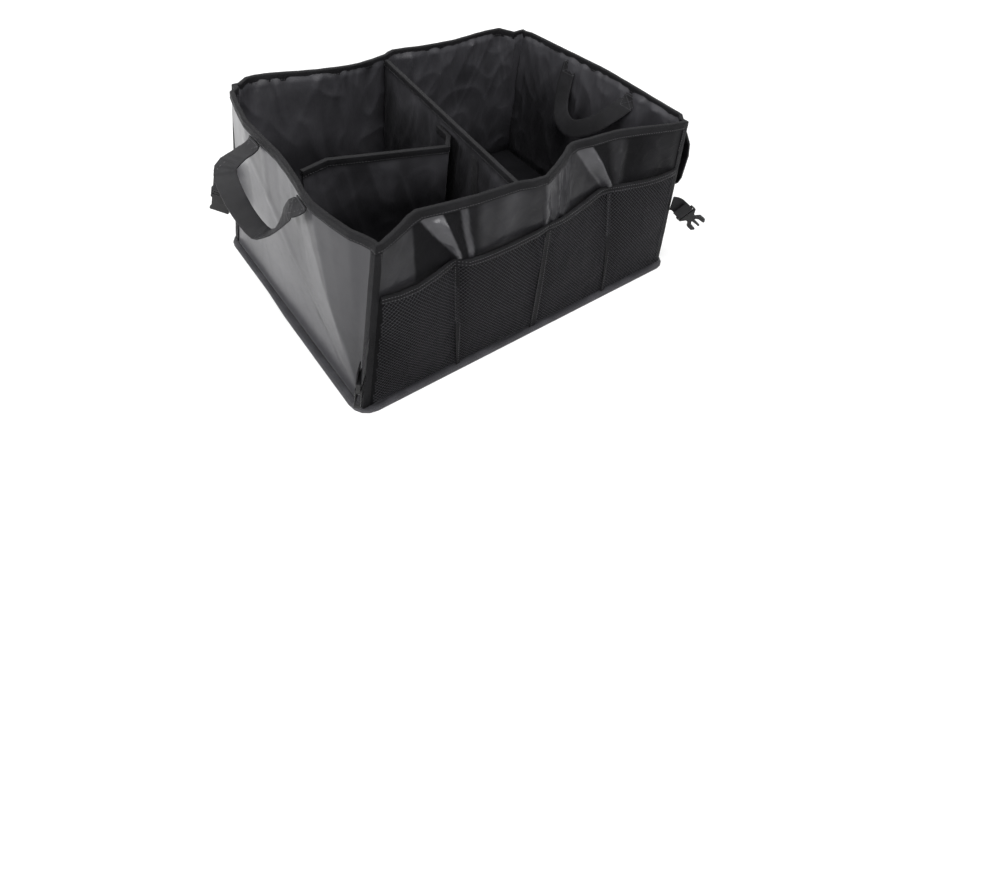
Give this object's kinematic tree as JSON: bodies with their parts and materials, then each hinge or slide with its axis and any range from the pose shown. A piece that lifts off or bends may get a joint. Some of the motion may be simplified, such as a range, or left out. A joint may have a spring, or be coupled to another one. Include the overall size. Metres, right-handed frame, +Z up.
{
  "type": "foldable storage bag",
  "caption": "Open-topped foldable cloth storage bag with stiffened walls, bound rim, dividers, front mesh pockets, flap pockets, webbing handles and side-release straps.",
  "frame": {"origin": "centre of the base's underside, on the surface that the bag stands on", "axes": "+X along the long side towards the end with the flap pockets, +Y from the mesh-pocket front to the back, +Z up"},
  "size_m": [0.6598, 0.4664, 0.25],
  "materials": {
    "cloth": "woven coated polyester cloth, dark charcoal, with a faint sheen",
    "lining": "thin coated lining cloth, near black, shinier than the outer cloth",
    "board": "plain stiffening board, hidden between cloth and lining",
    "tape": "ribbed binding tape with a line of stitches",
    "mesh": "open knitted net",
    "webbing": "ribbed woven webbing",
    "plastic": "moulded black plastic, satin to glossy",
    "hook_and_loop": "matt hook-and-loop tape"
  },
  "bodies": {
    "bag": {"base_cloth": "cloth", "base_board_left": "board", "base_board_right": "board", "base_lining": "lining", "base_flange": "tape", "front_wall_cloth": "cloth", "front_wall_lining": "lining", "front_wall_board_left": "board", "front_wall_board_right": "board", "right_wall_cloth": "cloth", "right_wall_lining": "lining", "right_wall_board": "board", "back_wall_cloth": "cloth", "back_wall_lining": "lining", "back_wall_board_right": "board", "back_wall_board_left": "board", "left_wall_cloth": "cloth", "left_wall_lining": "lining", "left_wall_board": "board", "rim_binding": "tape", "corner_binding_front_left": "tape", "corner_binding_front_right": "tape", "corner_binding_back_right": "tape", "corner_binding_back_left": "tape", "mesh_pocket_left": "mesh", "mesh_hem_left": "tape", "mesh_seam_left": "tape", "mesh_pocket_right": "mesh", "mesh_hem_right": "tape", "mesh_seam_right": "tape", "front_centre_tape": "tape", "flap_pocket_front": "cloth", "loop_patch_front": "hook_and_loop", "flap_pocket_back": "cloth", "loop_patch_back": "hook_and_loop", "pocket_centre_strip": "tape", "centre_divider_cloth": "lining", "centre_divider_board": "board", "centre_divider_binding": "tape", "divider_loop_strip": "hook_and_loop", "cross_divider_cloth": "lining", "cross_divider_board": "board", "cross_divider_binding": "tape", "handle_left": "webbing", "handle_right": "webbing", "buckle_sleeve_front_left": "plastic", "strap_front_left": "webbing", "buckle_prong_front_right": "plastic", "strap_front_right": "webbing", "buckle_prong_back_right": "plastic", "strap_back_right": "webbing", "buckle_sleeve_back_left": "plastic", "strap_back_left": "webbing"},
    "flap_front": {"pocket_flap_front": "cloth", "pocket_flap_binding_front": "tape", "hook_patch_front": "hook_and_loop"},
    "flap_back": {"pocket_flap_back": "cloth", "pocket_flap_binding_back": "tape", "hook_patch_back": "hook_and_loop"}
  },
  "joints": [
    {"name": "flap_front_hinge", "type": "hinge", "parent": "bag", "child": "flap_front", "pos_m": [0.27694, -0.08116, 0.235], "axis": [-0.0241, -0.9997, 0], "range_deg": [0, 120]},
    {"name": "flap_back_hinge", "type": "hinge", "parent": "bag", "child": "flap_back", "pos_m": [0.27098, 0.0854, 0.235], "axis": [0.0932, -0.9956, 0], "range_deg": [0, 120]}
  ]
}
